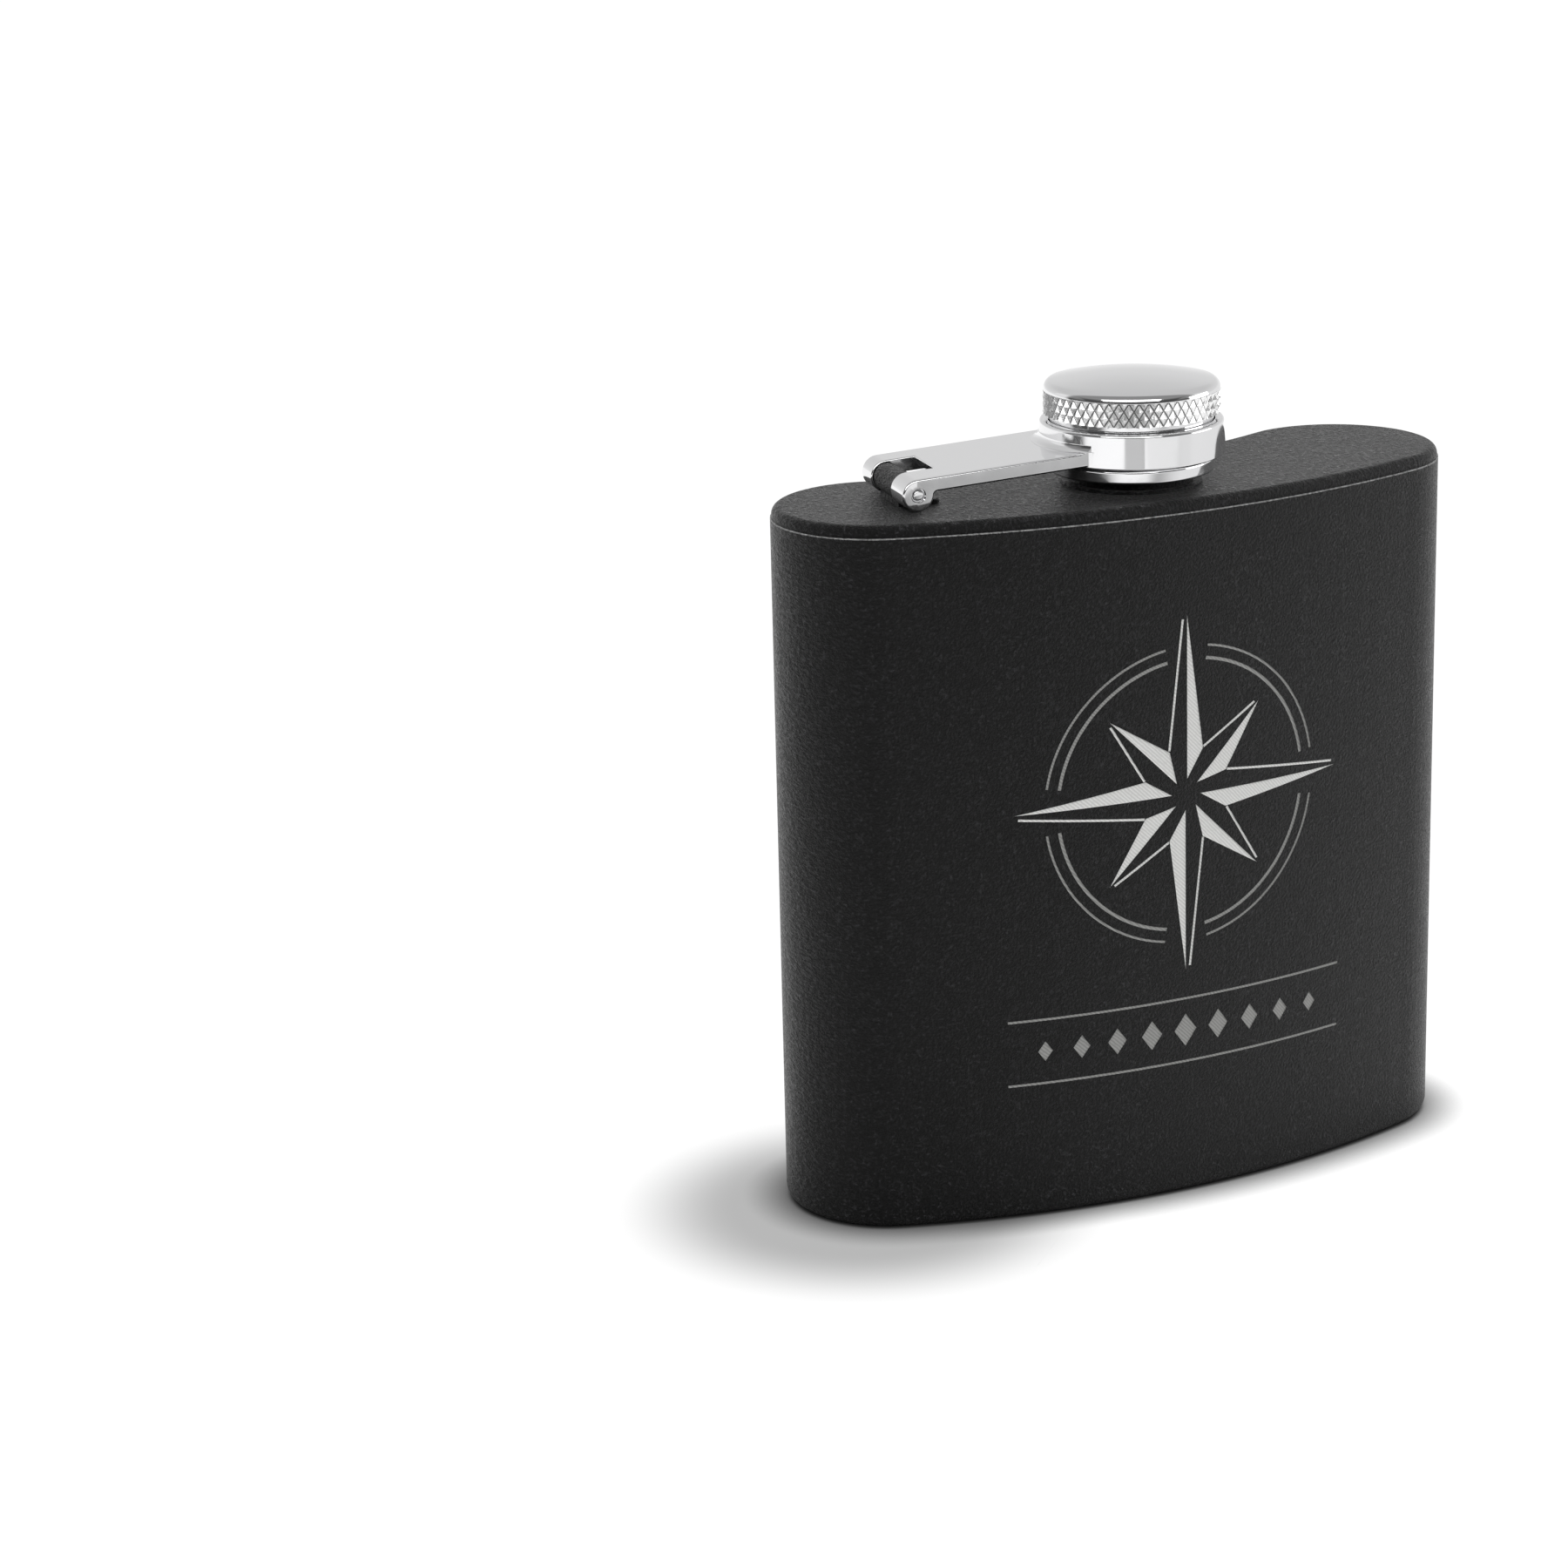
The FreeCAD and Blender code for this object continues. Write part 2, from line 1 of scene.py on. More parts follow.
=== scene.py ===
import bpy
import json
import math
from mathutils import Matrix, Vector

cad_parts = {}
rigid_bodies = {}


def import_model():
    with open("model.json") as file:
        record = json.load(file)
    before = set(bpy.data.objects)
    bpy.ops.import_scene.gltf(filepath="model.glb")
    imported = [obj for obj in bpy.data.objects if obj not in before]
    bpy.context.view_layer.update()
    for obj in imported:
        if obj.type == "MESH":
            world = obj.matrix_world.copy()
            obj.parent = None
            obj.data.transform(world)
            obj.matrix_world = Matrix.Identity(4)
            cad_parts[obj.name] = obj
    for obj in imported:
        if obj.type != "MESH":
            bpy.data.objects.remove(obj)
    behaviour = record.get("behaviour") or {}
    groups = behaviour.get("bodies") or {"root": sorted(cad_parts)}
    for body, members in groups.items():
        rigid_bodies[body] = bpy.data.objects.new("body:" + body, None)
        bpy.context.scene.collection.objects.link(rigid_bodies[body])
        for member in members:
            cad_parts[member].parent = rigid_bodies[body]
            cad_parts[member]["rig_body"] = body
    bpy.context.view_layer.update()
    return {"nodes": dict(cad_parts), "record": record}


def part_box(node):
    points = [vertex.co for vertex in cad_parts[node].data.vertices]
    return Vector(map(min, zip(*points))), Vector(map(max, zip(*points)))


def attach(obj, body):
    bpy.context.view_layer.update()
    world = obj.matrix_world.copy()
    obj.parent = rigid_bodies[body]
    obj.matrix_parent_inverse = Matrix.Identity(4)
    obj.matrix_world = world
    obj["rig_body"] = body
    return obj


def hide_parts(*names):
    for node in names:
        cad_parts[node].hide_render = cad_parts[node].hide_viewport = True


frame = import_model()

MM = 0.001
UP = Vector((0, 0, 1))
TURN_STEPS = 192            # faces round a turned piece, so that it mirrors smoothly
THREAD_STEPS = 72           # faces in one turn of a screw ridge
DOME_STEPS = 12             # points from the middle of the dome to its rounded edge
ARC_STEP = 11               # degrees between the points of a rounded corner
MERGE = 0.0005 * MM         # points closer than this are one

# ---- places and sizes taken from the frame ----
head_low, head_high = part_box("cap_head")
ring_low, ring_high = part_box("swivel_ring")
sleeve_low, sleeve_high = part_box("cap_sleeve")
spout_low, spout_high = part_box("neck_tube")
gasket_low, gasket_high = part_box("cap_gasket")
wall_low, wall_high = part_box("body_wall")
AXIS_Y = (ring_low.y + ring_high.y) / 2
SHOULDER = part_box("shoulder_plate")[1].z


def half_width(low, high):
    return (high.x - low.x) / 2


# ---- sizes of the turned steel, in metres ----
HEAD_RADIUS = half_width(head_low, head_high)
HEAD_ROUND = 1.15 * MM      # rounding between the knurled band and the dome
BAND_TOP = head_low.z + 3.05 * MM
BAND_SEAM = 0.04 * MM       # the band ends this far below its top, where the crown's edge starts
CROWN_INSET = 0.02 * MM     # the crown's edge ends this far inside the head's radius
CORE_GAP = 0.15 * MM        # from the bottoms of the grooves in to the crown's core
KNURL_COUNT = 54            # diamonds round the band
KNURL_ROWS = 4              # the net stands past both ends of the band, and is cut to it
KNURL_ROW = 1.96 * MM       # height of one diamond
KNURL_TOP = 0.05 * MM       # the third row ends this far below the band's top
KNURL_INSET = 0.46 * MM     # width of a diamond's sloping sides
KNURL_DEPTH = 0.42 * MM
KNURL_PHASE = 2.0           # degrees that the first diamond is turned
SLEEVE_RADIUS = 10.2 * MM
SLEEVE_BORE = 9.3 * MM
SLEEVE_LEAD = 0.9 * MM      # height of the slope inside the crown's foot, over the sleeve
RING_RUNNING = 0.1 * MM     # ring on sleeve
RING_LEDGE = 0.4 * MM       # the ring's inner ledge, held above the rolled lip
RING_LEDGE_HEIGHT = 1.0 * MM
RING_DRAFT = 0.2 * MM       # the ring is this much wider at its foot
LIP_RUNNING = 0.25 * MM     # end clearance between ring and lip
THREAD_PITCH = 2.1 * MM
THREAD_RISE = 0.35 * MM     # height of the sleeve's ridge; the spout's is twice as high
GASKET_WIDTH = 2.4 * MM
SPOUT_BORE = 6.6 * MM
SPOUT_FOOT_RADIUS = 7.1 * MM
SPOUT_FLANGE = 0.7 * MM     # foot rolled out under the shoulder
SPOUT_THREAD_FOOT = 1.9 * MM    # height of the narrower foot below the threaded wall
SPOUT_STEP = 0.4 * MM       # height of the slope from the spout's foot out to its threaded wall
SHOULDER_PLATE = 0.8 * MM
PIN_END = 0.15 * MM         # rounding of the pin's ends


# ---- small helpers ----
def linear(hex_colour):
    """An sRGB hex colour as linear RGBA."""
    parts = [int(hex_colour[i:i + 2], 16) / 255 for i in (1, 3, 5)]
    return [c / 12.92 if c <= 0.04045 else ((c + 0.055) / 1.055) ** 2.4 for c in parts] + [1.0]


def add(tree, kind, settings=None, *in_order, **by_name):
    """Adds a node. Inputs come in the node's own order, or by name with _ for a space.

    An input is a value, a socket to link from, or a node, which gives its first output in use.
    """
    node = tree.nodes.new("ShaderNode" + kind)
    for name, value in (settings or {}).items():
        setattr(node, name, value)
    sockets = [socket for socket in node.inputs if socket.enabled]
    inputs = list(zip(sockets, in_order))
    for name, value in by_name.items():
        name = name.replace("_", " ")
        inputs.append((next(socket for socket in sockets if socket.name == name), value))
    for socket, value in inputs:
        if isinstance(value, bpy.types.Node):
            value = next(output for output in value.outputs if output.enabled)
        if isinstance(value, bpy.types.NodeSocket):
            tree.links.new(value, socket)
        else:
            socket.default_value = value
    return node


# settings that several nodes share; a map range takes value, from, to, first result, last result
TIMES = {"operation": "MULTIPLY"}
PLUS = {"operation": "ADD"}
LARGER = {"operation": "MAXIMUM"}
ALONG = {"operation": "DOT_PRODUCT"}
APART = {"operation": "DISTANCE"}
COLOUR = {"data_type": "RGBA"}
NUMBER = {"data_type": "FLOAT"}
EVEN = {"interpolation_type": "LINEAR"}
SOFT = {"interpolation_type": "SMOOTHSTEP"}


def new_material(name):
    material = bpy.data.materials.new(name)
    material.use_nodes = True
    material.node_tree.nodes.clear()
    return material, material.node_tree


# ---- real sizes that the patterns are drawn at ----
COAT_GRAIN = 0.36 * MM
COAT_RELIEF = 0.45 * MM
COAT_STRETCH = (1, 0.36, 1)     # the grain is about 2.8 times as long from front to back
HIGHLIGHT_LINE_BELOW = 0.13 * MM        # the painted highlight line reaches this far below the wall's top edge
HIGHLIGHT_LINE_ABOVE = 0.01 * MM
POLISH_HAZE = 2.5 * MM
TORN_GRAIN = 0.22 * MM
GROOVE_SHADE = 0.1 * MM          # the painted shade at the bottoms of the grooves is this high
LASER_HATCH = 0.4 * MM
LASER_FLECK = 0.3 * MM
LATHE_RING = 0.12 * MM
SILICONE_MOTTLE = 0.8 * MM


# ---- materials ----
def powder_coat():
    """Polyester powder coat, black, fine leather texture: baked on, matte, with a soft sheen.

    A real fine texture is about 0.2 mm; it is drawn at 0.36 mm, and longer from front to back,
    so that it shows. At the wall's top edge a fine light line is painted round the shoulder's
    seam: a painted highlight where the edge would catch the light.
    """
    material, tree = new_material("powder_coat_black")
    place = add(tree, "TexCoord").outputs["Object"]
    stretched = add(tree, "VectorMath", TIMES, place, COAT_STRETCH)
    grain = add(tree, "TexNoise", Vector=stretched, Scale=1 / COAT_GRAIN, Detail=3.0,
                Roughness=0.7)
    bump = add(tree, "Bump", Strength=1.0, Distance=COAT_RELIEF, Height=grain)
    rough = add(tree, "MapRange", EVEN, grain, 0.42, 0.62, 0.42, 0.26)
    # painted glints: the grain's crests are coloured lighter, where raised grain would catch the
    # light
    crest = add(tree, "MapRange", EVEN, grain, 0.56, 0.68, 0.0, 1.0)
    colour = add(tree, "Mix", COLOUR, crest, linear("#000000"), linear("#363638"))
    level = add(tree, "SeparateXYZ", Vector=place).outputs["Z"]
    # painted highlight: a fine light line along the wall's top edge, uneven along its length
    over = add(tree, "Math", {"operation": "GREATER_THAN"}, level, wall_high.z - HIGHLIGHT_LINE_BELOW)
    under = add(tree, "Math", {"operation": "LESS_THAN"}, level, wall_high.z + HIGHLIGHT_LINE_ABOVE)
    edge = add(tree, "Math", TIMES, over, under)
    uneven = add(tree, "MapRange", SOFT, grain, 0.35, 0.6, 0.35, 1)
    painted_highlight = add(tree, "Math", TIMES, edge, uneven)
    highlighted_colour = add(tree, "Mix", COLOUR, painted_highlight, colour, linear("#B4B4B4"))
    shader = add(tree, "BsdfPrincipled", Base_Color=highlighted_colour, IOR=1.31, Roughness=rough,
                 Sheen_Weight=0.07, Sheen_Roughness=0.35, Normal=bump)
    add(tree, "OutputMaterial", Surface=shader)
    return material


def polished_steel():
    """Stainless steel, mirror polished on a wheel: faint polishing haze, no grain to see."""
    material, tree = new_material("polished_stainless")
    place = add(tree, "TexCoord").outputs["Object"]
    haze = add(tree, "TexNoise", Vector=place, Scale=1 / POLISH_HAZE, Detail=5.0)
    rough = add(tree, "MapRange", EVEN, haze, 0.3, 0.7, 0.05, 0.11)
    bump = add(tree, "Bump", Strength=0.15, Distance=0.004 * MM, Height=haze)
    shader = add(tree, "BsdfPrincipled", Base_Color=linear("#ECECED"), Metallic=1.0,
                 Roughness=rough, Normal=bump)
    add(tree, "OutputMaterial", Surface=shader)
    return material


def knurled_steel(name, smoothest, roughest, tear):
    """Stainless after the knurling roll: flanks pressed bright, crests torn and a little duller.

    The bottoms of the grooves are coloured darker: painted shade in the deep recesses.
    """
    material, tree = new_material(name)
    place = add(tree, "TexCoord").outputs["Object"]
    torn = add(tree, "TexNoise", Vector=place, Scale=1 / TORN_GRAIN, Detail=3.0)
    rough = add(tree, "MapRange", EVEN, torn, 0.3, 0.7, smoothest, roughest)
    bump = add(tree, "Bump", Strength=tear, Distance=0.03 * MM, Height=torn)
    # painted shade: the colour darkens toward the bottoms of the grooves
    level_place = add(tree, "VectorMath", TIMES, place, (1, 1, 0))
    from_axis = add(tree, "VectorMath", APART, level_place, (0, AXIS_Y, 0))
    valley = HEAD_RADIUS - KNURL_DEPTH
    above_groove_shade = add(tree, "MapRange", SOFT, from_axis, valley, valley + GROOVE_SHADE, 0, 1)
    colour = add(tree, "Mix", COLOUR, above_groove_shade, linear("#6A6A6A"), linear("#FAFAFA"))
    shader = add(tree, "BsdfPrincipled", Base_Color=colour, Metallic=1.0, Roughness=rough,
                 Normal=bump)
    add(tree, "OutputMaterial", Surface=shader)
    return material


def etched_steel(name, darker, lighter):
    """Stainless laid bare by a laser: the coat is gone, the metal is dull with fine hatching.

    The hatching scatters light as a pale paint does, so the shader has no metallic part.
    """
    material, tree = new_material(name)
    place = add(tree, "TexCoord").outputs["Object"]
    hatch = add(tree, "TexWave", {"bands_direction": "DIAGONAL"}, Vector=place,
                Scale=0.5 / LASER_HATCH, Distortion=1.5, Detail=2.0).outputs["Fac"]
    fleck = add(tree, "TexNoise", Vector=place, Scale=1 / LASER_FLECK, Detail=3.0)
    height = add(tree, "Math", TIMES, hatch, fleck)
    shine = add(tree, "MapRange", SOFT, height, 0.05, 0.5, 0, 1)
    colour = add(tree, "Mix", COLOUR, shine, linear(darker), linear(lighter))
    bump = add(tree, "Bump", Strength=0.5, Distance=0.02 * MM, Height=height)
    shader = add(tree, "BsdfPrincipled", Base_Color=colour, Roughness=0.55, Normal=bump)
    add(tree, "OutputMaterial", Surface=shader)
    return material


def turned_steel():
    """Bare stainless straight from the lathe: fine rings round the spout."""
    material, tree = new_material("turned_stainless")
    place = add(tree, "TexCoord").outputs["Object"]
    rings = add(tree, "TexWave", {"bands_direction": "Z"}, Vector=place,
                Scale=0.5 / LATHE_RING, Distortion=0.6, Detail=2.0).outputs["Fac"]
    bump = add(tree, "Bump", Strength=0.25, Distance=0.006 * MM, Height=rings)
    rough = add(tree, "MapRange", EVEN, rings, 0, 1, 0.2, 0.32)
    shader = add(tree, "BsdfPrincipled", Base_Color=linear("#D6D5D3"), Metallic=1.0,
                 Roughness=rough, Normal=bump)
    add(tree, "OutputMaterial", Surface=shader)
    return material


def seal_silicone():
    """Moulded food-grade silicone: soft, slightly cloudy, dull."""
    material, tree = new_material("silicone_seal")
    place = add(tree, "TexCoord").outputs["Object"]
    mottle = add(tree, "TexNoise", Vector=place, Scale=1 / SILICONE_MOTTLE, Detail=3.0)
    colour = add(tree, "Mix", COLOUR, mottle, linear("#B9B4A6"), linear("#C9C5B8"))
    bump = add(tree, "Bump", Strength=0.2, Distance=0.01 * MM, Height=mottle)
    shader = add(tree, "BsdfPrincipled", Base_Color=colour, Roughness=0.6, Normal=bump)
    add(tree, "OutputMaterial", Surface=shader)
    return material


KNURLED = knurled_steel("knurled_stainless", 0.24, 0.4, 0.8)
TORN = knurled_steel("torn_stainless", 0.25, 0.45, 1.0)
ETCHED = etched_steel("laser_etched_stainless", "#DCDCDA", "#F2F2F0")
MARKED = etched_steel("laser_marked_stainless", "#8C8C8A", "#A6A6A4")
FINISH = {
    "coated_steel": powder_coat(),
    "polished_steel": polished_steel(),
    "bare_steel": turned_steel(),
    "seal_rubber": seal_silicone(),
}
SLOT_OF = {part["node"]: part["material_slot"] for part in frame["record"]["subparts"]}


def paint(piece, material):
    piece.data.materials.clear()
    piece.data.materials.append(material)


for node_name, node_object in frame["nodes"].items():
    paint(node_object, FINISH[SLOT_OF[node_name]])


def stand_for(piece, node, material=None):
    """The piece takes the node's place: it rides on the same body and has the same finish."""
    paint(piece, material or FINISH[SLOT_OF[node]])
    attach(piece, frame["nodes"][node]["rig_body"])
    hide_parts(node)


# ---- modelling helpers ----
def only(piece):
    """Selects the piece alone and makes it the active one."""
    bpy.ops.object.select_all(action="DESELECT")
    piece.select_set(True)
    bpy.context.view_layer.objects.active = piece


def smooth(piece, angle=30):
    only(piece)
    bpy.ops.object.shade_smooth_by_angle(angle=math.radians(angle))


def merged_copy(node):
    """A copy of a node with its loose triangles joined."""
    source = frame["nodes"][node]
    piece = source.copy()
    piece.data = source.data.copy()
    for key in list(piece.keys()):
        if key.startswith("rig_"):
            del piece[key]
    piece.parent = None
    piece.name = node + "_fine"
    bpy.context.scene.collection.objects.link(piece)
    only(piece)
    bpy.ops.object.mode_set(mode="EDIT")
    bpy.ops.mesh.customdata_custom_splitnormals_clear()
    bpy.ops.mesh.select_all(action="SELECT")
    bpy.ops.mesh.remove_doubles(threshold=MERGE)
    bpy.ops.object.mode_set(mode="OBJECT")
    return piece


def apply_modifier(piece, kind, **settings):
    only(piece)
    bpy.ops.object.modifier_add(type=kind)
    modifier = piece.modifiers[-1]
    for name, value in settings.items():
        setattr(modifier, name, value)
    bpy.ops.object.modifier_apply(modifier=modifier.name)


def refined(node):
    """A merged copy of a node with smooth faces and crisp edges."""
    piece = merged_copy(node)
    smooth(piece)
    apply_modifier(piece, "WEIGHTED_NORMAL", keep_sharp=True)
    stand_for(piece, node)


def arc(centre, radius, start, end):
    """Points on an arc in the radius-height plane, from start to end degrees."""
    count = max(3, math.ceil(abs(end - start) / ARC_STEP))
    angles = [math.radians(start + (end - start) * i / count) for i in range(count + 1)]
    return [(centre[0] + radius * math.cos(a), centre[1] + radius * math.sin(a)) for a in angles]


def outline(*corners):
    """A profile from corners (radius, height) or (radius, height, rounding).

    Guard points beside each rounding keep the flat faces' shading flat.
    """
    guard = 0.04 * MM
    points = []
    for i, corner in enumerate(corners):
        here = Vector(corner[:2])
        if len(corner) == 2:
            points.append(tuple(here))
            continue
        before = Vector(corners[i - 1][:2]) - here
        after = Vector(corners[(i + 1) % len(corners)][:2]) - here
        opening = before.angle(after)
        reach = corner[2] / math.tan(opening / 2)
        inward = (before.normalized() + after.normalized()).normalized()
        centre = here + inward * corner[2] / math.sin(opening / 2)
        first = here + before.normalized() * reach - centre
        last = here + after.normalized() * reach - centre
        bend = math.pi - opening
        count = max(3, math.ceil(math.degrees(bend) / ARC_STEP))
        if before.length > reach + guard:
            points.append(tuple(here + before.normalized() * (reach + guard)))
        for step in range(count + 1):
            share = step / count
            spoke = first * math.sin((1 - share) * bend) + last * math.sin(share * bend)
            points.append(tuple(centre + spoke / math.sin(bend)))
        if after.length > reach + guard:
            points.append(tuple(here + after.normalized() * (reach + guard)))
    return points


def drawn(name, points):
    """A line through the points (x, y, z): one vertex, then extruded from point to point."""
    bpy.ops.object.select_all(action="DESELECT")
    bpy.ops.mesh.primitive_plane_add(size=MM, location=points[0])
    piece = bpy.context.object
    piece.name = name
    bpy.ops.object.transform_apply(location=True, rotation=True, scale=True)
    bpy.ops.object.mode_set(mode="EDIT")
    bpy.ops.mesh.select_mode(type="VERT")
    bpy.ops.mesh.select_all(action="SELECT")
    bpy.ops.mesh.merge(type="CENTER")
    for before, after in zip(points, points[1:]):
        step = [b - a for a, b in zip(before, after)]
        bpy.ops.mesh.extrude_region_move(TRANSFORM_OT_translate={"value": step})
    bpy.ops.mesh.select_all(action="SELECT")
    return piece


def turned(name, profile, closed=True):
    """A piece turned about the spout's axis from a (radius, height) profile."""
    points = [(radius, AXIS_Y, height) for radius, height in profile]
    if closed:
        points.append(points[0])
    piece = drawn(name, points)
    bpy.ops.mesh.remove_doubles(threshold=MERGE)
    bpy.ops.mesh.spin(steps=TURN_STEPS, angle=2 * math.pi, center=(0, AXIS_Y, 0), axis=(0, 0, 1))
    bpy.ops.mesh.select_all(action="SELECT")
    bpy.ops.mesh.remove_doubles(threshold=MERGE)
    bpy.ops.mesh.normals_make_consistent(inside=False)
    bpy.ops.object.mode_set(mode="OBJECT")
    smooth(piece)
    return piece


# ---- cap ----
def cap_crown():
    """The domed top with its rounded edge, and the core that the knurled band stands on."""
    core = HEAD_RADIUS - KNURL_DEPTH - CORE_GAP
    flat = HEAD_RADIUS - HEAD_ROUND
    rise = head_high.z - BAND_TOP
    dome = (flat ** 2 + rise ** 2 - HEAD_ROUND ** 2) / (2 * (rise - HEAD_ROUND))
    dome_z = head_high.z - dome
    meet = math.degrees(math.atan2(BAND_TOP - dome_z, flat))
    top = [(0, head_high.z)]
    for i in range(1, DOME_STEPS):
        angle = math.radians(90 + (meet - 90) * i / DOME_STEPS)
        top.append((dome * math.cos(angle), dome_z + dome * math.sin(angle)))
    edge = arc((flat, BAND_TOP), HEAD_ROUND, meet, 0)
    foot = [
        (HEAD_RADIUS - CROWN_INSET, BAND_TOP - BAND_SEAM),
        (core, BAND_TOP - BAND_SEAM),
        (core, head_low.z),
        (SLEEVE_RADIUS, head_low.z),
        (SLEEVE_BORE, head_low.z + SLEEVE_LEAD),
        (SLEEVE_BORE, gasket_high.z),
        (0, gasket_high.z),
    ]
    stand_for(turned("cap_crown", top + edge + foot, closed=False), "cap_head")


def cap_knurl():
    """Diamond knurl: a net of diamonds round the band, each raised to a blunt pyramid."""
    valley = HEAD_RADIUS - KNURL_DEPTH
    lowest = BAND_TOP - KNURL_TOP - (KNURL_ROWS - 1) * KNURL_ROW
    bpy.ops.object.select_all(action="DESELECT")
    bpy.ops.mesh.primitive_circle_add(vertices=KNURL_COUNT, radius=valley,
                                      location=(0, AXIS_Y, lowest),
                                      rotation=(0, 0, math.radians(KNURL_PHASE)))
    piece = bpy.context.object
    piece.name = "cap_knurl"
    bpy.ops.object.transform_apply(location=True, rotation=True, scale=True)
    stand_for(piece, "cap_head", KNURLED)
    piece.data.materials.append(TORN)
    bpy.ops.object.mode_set(mode="EDIT")
    bpy.ops.mesh.select_mode(type="VERT")
    bpy.ops.mesh.select_all(action="SELECT")
    for _ in range(KNURL_ROWS):
        bpy.ops.mesh.extrude_region_move(TRANSFORM_OT_translate={"value": (0, 0, KNURL_ROW)})
    bpy.ops.mesh.select_all(action="SELECT")
    bpy.ops.mesh.normals_make_consistent(inside=False)
    bpy.ops.mesh.poke()
    choose(piece, "vertices", lambda v: math.hypot(v.co.x, v.co.y - AXIS_Y) < valley - MERGE)
    outward = 1 / math.cos(math.pi / KNURL_COUNT)
    bpy.ops.transform.resize(value=(outward, outward, 1), center_override=(0, AXIS_Y, 0))
    bpy.ops.mesh.select_mode(type="EDGE")
    choose(piece, "edges", lambda e: is_net_edge(piece, e))
    bpy.ops.mesh.dissolve_edges(use_verts=False)
    bpy.ops.mesh.select_mode(type="FACE")
    bpy.ops.mesh.select_all(action="SELECT")
    bpy.ops.mesh.inset(thickness=KNURL_INSET, depth=KNURL_DEPTH, use_individual=True)
    piece.active_material_index = 1
    bpy.ops.object.material_slot_assign()
    for height, end in ((BAND_TOP - BAND_SEAM, "clear_outer"), (head_low.z, "clear_inner")):
        bpy.ops.mesh.select_all(action="SELECT")
        bpy.ops.mesh.bisect(plane_co=(0, 0, height), plane_no=(0, 0, 1), **{end: True})
    bpy.ops.object.mode_set(mode="OBJECT")


def is_net_edge(piece, edge):
    """Upright and level edges of the first net, which lie inside the diamonds."""
    a, b = (piece.data.vertices[i].co for i in edge.vertices)
    level = abs(a.z - b.z) < MERGE
    upright = math.hypot(a.x - b.x, a.y - b.y) < MERGE
    return level or upright


def choose(piece, kind, test):
    """Selects the vertices, edges or faces of the piece in edit mode that pass the test."""
    bpy.ops.mesh.select_all(action="DESELECT")
    bpy.ops.object.mode_set(mode="OBJECT")
    for element in getattr(piece.data, kind):
        element.select = bool(test(element))
    bpy.ops.object.mode_set(mode="EDIT")


def thread(name, node, root, crest, low, high, turns):
    """A screw ridge from root to crest radius, whose two ends run out into the tube."""
    sink = 0.1 * MM if crest > root else -0.1 * MM
    half = 0.28 * THREAD_PITCH      # half the ridge's width at its root
    flat = 0.08 * THREAD_PITCH      # and at its crest
    ridge = [(root - sink, low - half), (crest, low - flat),
             (crest, low + flat), (root - sink, low + half)]
    points = [(radius, 0, height) for radius, height in ridge + ridge[:1]]
    piece = drawn(name, points)
    bpy.ops.mesh.remove_doubles(threshold=MERGE)
    bpy.ops.object.mode_set(mode="OBJECT")
    bpy.ops.object.modifier_add(type="SCREW")
    screw = piece.modifiers[-1]
    screw.angle = 2 * math.pi * turns
    screw.screw_offset = high - low
    screw.steps = screw.render_steps = round(THREAD_STEPS * turns)
    bpy.ops.object.modifier_apply(modifier=screw.name)
    run_out = 0.12 * (high - low)
    for vertex in piece.data.vertices:
        radius = math.hypot(vertex.co.x, vertex.co.y)
        if abs(radius - crest) > MERGE:
            continue
        along = vertex.co.z - flat - low
        share = min(1, max(0, min(along, high - low - along)) / run_out)
        scale = (root - sink + (crest - root + sink) * share) / radius
        vertex.co.x *= scale
        vertex.co.y *= scale
    bpy.ops.object.mode_set(mode="EDIT")
    bpy.ops.mesh.select_all(action="SELECT")
    bpy.ops.transform.translate(value=(0, AXIS_Y, 0))
    bpy.ops.mesh.normals_make_consistent(inside=False)
    bpy.ops.object.mode_set(mode="OBJECT")
    smooth(piece, 25)
    stand_for(piece, node)


def cap_sleeve():
    """Sleeve with the groove that takes the ring's ledge, and the rolled lip below it."""
    lip = half_width(sleeve_low, sleeve_high)
    lip_top = ring_low.z - LIP_RUNNING
    groove_top = ring_low.z + RING_LEDGE_HEIGHT + LIP_RUNNING
    groove = SLEEVE_RADIUS - RING_LEDGE
    profile = outline(
        (SLEEVE_BORE, sleeve_low.z, 0.25 * MM),
        (lip, sleeve_low.z, 0.28 * MM),
        (lip, lip_top, 0.5 * MM),
        (groove, lip_top),
        (groove, groove_top),
        (SLEEVE_RADIUS, groove_top, 0.1 * MM),
        (SLEEVE_RADIUS, sleeve_high.z),
        (SLEEVE_BORE, sleeve_high.z),
    )
    stand_for(turned("cap_sleeve_turned", profile), "cap_sleeve")
    thread("cap_thread", "cap_sleeve", root=SLEEVE_BORE, crest=SLEEVE_BORE - THREAD_RISE,
           low=sleeve_low.z + 1.2 * MM, high=gasket_low.z - 1.0 * MM, turns=2.4)


def cap_gasket():
    outer = half_width(gasket_low, gasket_high)
    inner = outer - GASKET_WIDTH
    soft = 0.2 * MM
    profile = outline(
        (inner, gasket_low.z, soft),
        (outer, gasket_low.z, soft),
        (outer, gasket_high.z),
        (inner, gasket_high.z),
    )
    stand_for(turned("cap_gasket_moulded", profile), "cap_gasket")


def swivel_ring():
    """The captive ring: drafted outside, rounded top edge, ledge inside its foot."""
    foot = half_width(ring_low, ring_high)
    bore = SLEEVE_RADIUS + RING_RUNNING
    profile = outline(
        (bore - RING_LEDGE, ring_low.z, 0.08 * MM),
        (foot, ring_low.z, 0.13 * MM),
        (foot - RING_DRAFT, ring_high.z, 0.4 * MM),
        (bore, ring_high.z, 0.2 * MM),
        (bore, ring_low.z + RING_LEDGE_HEIGHT),
        (bore - RING_LEDGE, ring_low.z + RING_LEDGE_HEIGHT),
    )
    stand_for(turned("swivel_ring_turned", profile), "swivel_ring")


